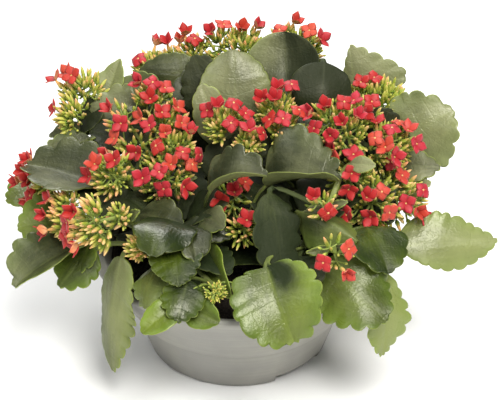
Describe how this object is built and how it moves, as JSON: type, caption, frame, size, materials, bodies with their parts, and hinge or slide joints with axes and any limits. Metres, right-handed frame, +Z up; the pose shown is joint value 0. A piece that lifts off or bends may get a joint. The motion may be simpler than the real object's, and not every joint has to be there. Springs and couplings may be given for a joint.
{
  "type": "potted kalanchoe",
  "caption": "Flowering kalanchoe with scalloped fleshy leaves and heads of small red four-petalled flowers, in a shallow grey plastic bowl.",
  "frame": {"origin": "centre of the pot's flat foot, on the surface that it stands on", "axes": "+Z up along the pot's axis, -Y towards the viewer of the picture, +X to the right"},
  "size_m": [0.3773, 0.2853, 0.232],
  "materials": {
    "pot_plastic": "satin grey",
    "soil": "rough crumbly",
    "leaf": "waxy fleshy leaf, satin",
    "petal": "soft matte petal",
    "bud": "soft matte bud"
  },
  "bodies": {
    "root": {"pot": "pot_plastic", "soil": "soil", "plant_front_left": "leaf", "plant_front_right": "leaf", "plant_back_left": "leaf", "plant_back_right": "leaf", "cluster_left_back": "petal", "head_left_outer": "petal", "head_left_low": "petal", "head_left_front": "petal", "head_left_bud": "bud", "head_front_bud": "bud", "head_left_inner": "petal", "cluster_left": "petal", "cluster_back": "petal", "head_back_right": "petal", "cluster_centre": "petal", "cluster_right": "petal", "head_right_top": "petal", "head_front_middle": "petal", "head_right_inner": "petal", "head_right_front": "petal", "head_middle_bud": "petal", "head_rear_left": "petal", "head_rear_right": "petal"}
  },
  "joints": []
}
